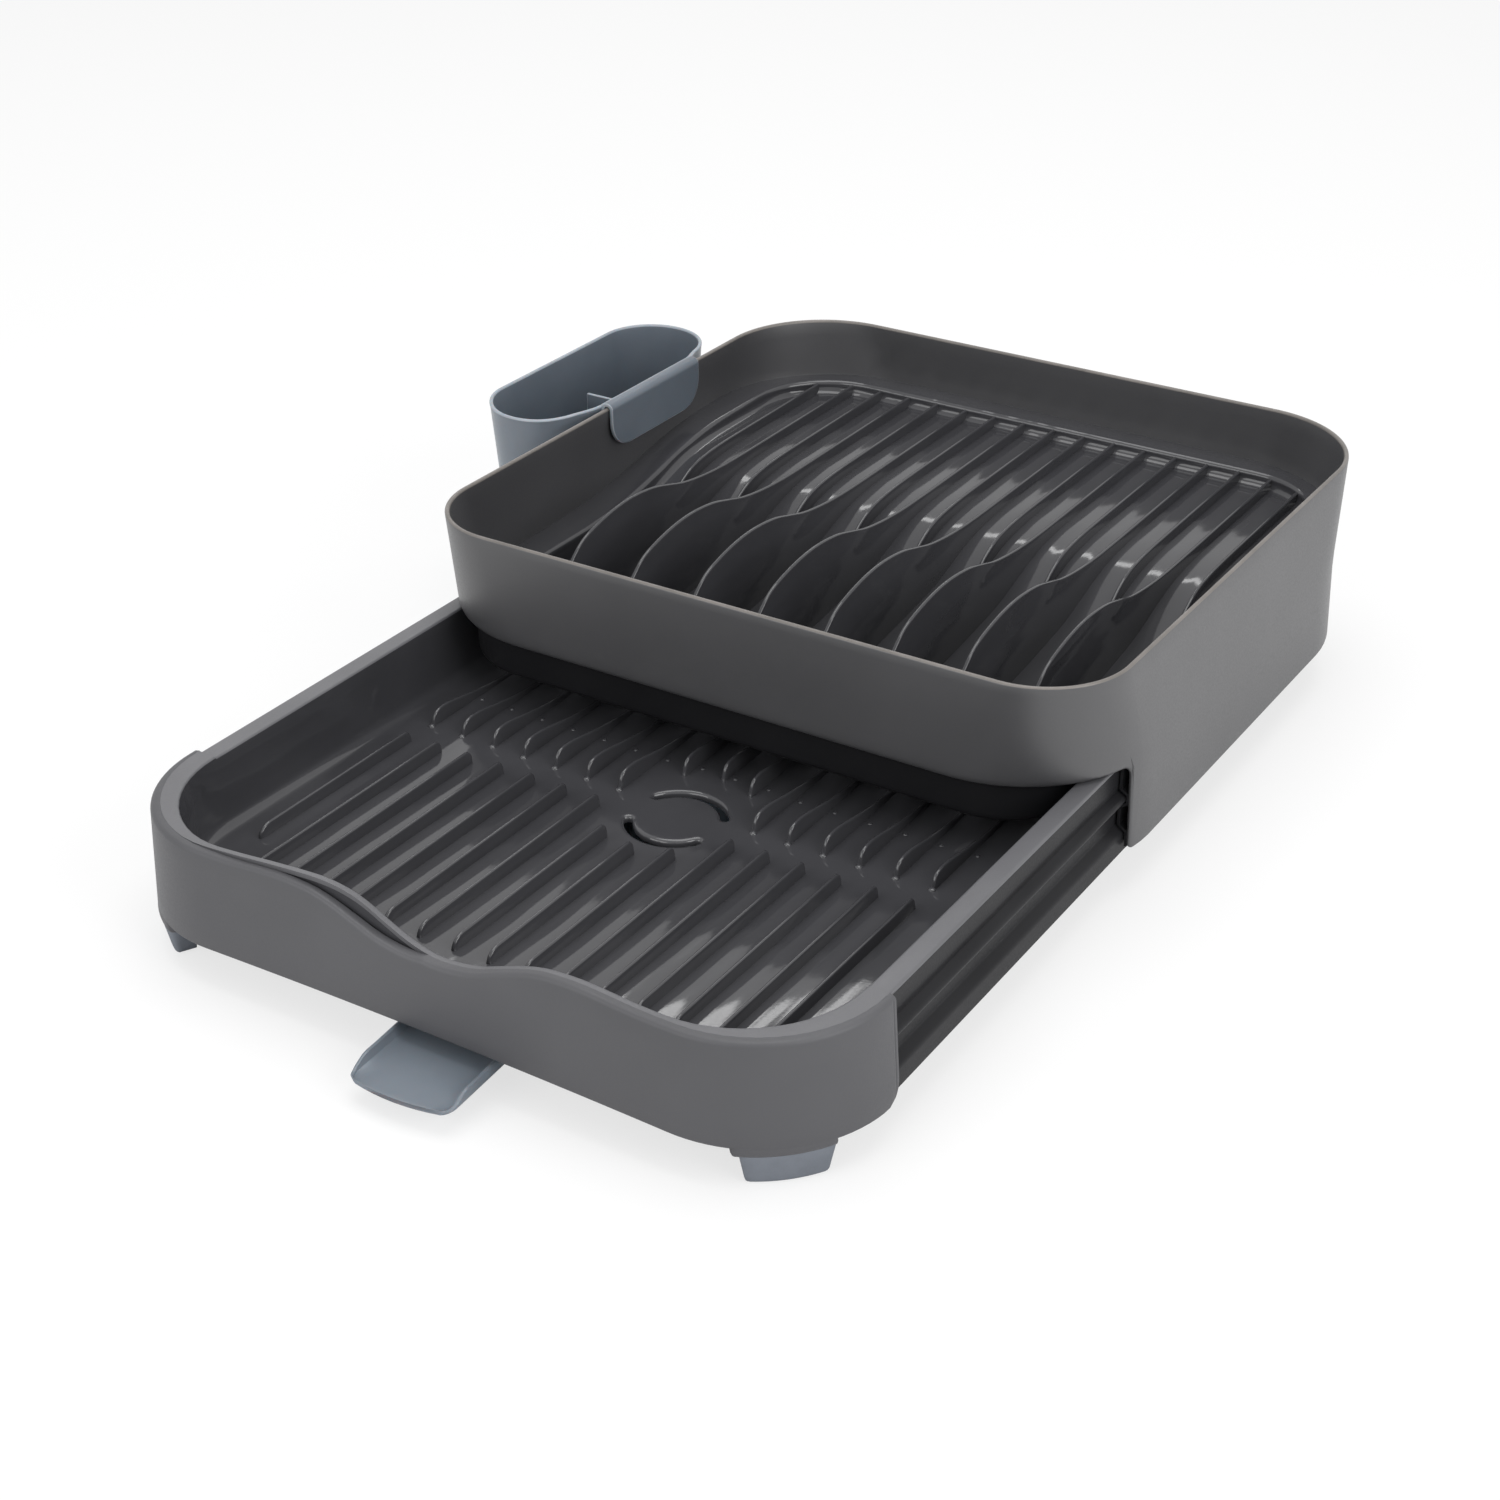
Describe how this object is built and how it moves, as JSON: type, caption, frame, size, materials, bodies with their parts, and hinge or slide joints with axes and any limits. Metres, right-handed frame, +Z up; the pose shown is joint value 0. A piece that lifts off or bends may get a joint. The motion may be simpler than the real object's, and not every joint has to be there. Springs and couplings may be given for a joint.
{
  "type": "expandable dish rack",
  "caption": "Dish rack with a deep bowl and wavy plate fins over a ribbed pull-out drain tray with a swivelling spout; a cutlery cup hooks on its side.",
  "frame": {"origin": "middle of the base of the whole rack as it stands pulled out, on the worktop", "axes": "+Z up, +Y from the tray's front to the bowl's back, +X to the right seen from the front"},
  "size_m": [0.424, 0.5968, 0.118],
  "materials": {
    "charcoal_satin": "satin moulded plastic",
    "charcoal_gloss": "glossy moulded plastic",
    "blue_grey": "satin moulded plastic",
    "foot_grey": "matte soft plastic"
  },
  "bodies": {
    "rack": {"rack_shell": "charcoal_satin", "rack_basin": "charcoal_gloss", "rack_skirt": "charcoal_satin", "plate_fin_1": "charcoal_gloss", "plate_fin_2": "charcoal_gloss", "plate_fin_3": "charcoal_gloss", "plate_fin_4": "charcoal_gloss", "plate_fin_5": "charcoal_gloss", "plate_fin_6": "charcoal_gloss", "plate_fin_7": "charcoal_gloss", "plate_fin_8": "charcoal_gloss", "guide_rail_left": "charcoal_satin", "guide_rail_right": "charcoal_satin", "foot_rear_left": "foot_grey", "foot_rear_right": "foot_grey"},
    "tray": {"drain_tray": "charcoal_gloss", "tray_wall": "charcoal_gloss", "front_fascia": "charcoal_satin", "tray_rail_left": "charcoal_satin", "tray_rail_right": "charcoal_satin", "foot_front_left": "foot_grey", "foot_front_right": "foot_grey", "spout_pivot": "charcoal_satin"},
    "spout": {"spout": "blue_grey"},
    "cutlery_holder": {"cutlery_cup": "blue_grey", "holder_divider": "blue_grey", "holder_hook": "blue_grey"}
  },
  "joints": [
    {"name": "tray_slide", "type": "slide", "parent": "rack", "child": "tray", "axis": [0, 1, 0], "range_m": [0, 0.199]},
    {"name": "spout_swivel", "type": "hinge", "parent": "tray", "child": "spout", "pos_m": [0.029, -0.09058, 0.0155], "axis": [0, 0, 1], "range_deg": [-92.5, 87.5]},
    {"name": "holder_lift", "type": "slide", "parent": "rack", "child": "cutlery_holder", "axis": [0, 0, 1], "range_m": [0, 0.12]}
  ]
}
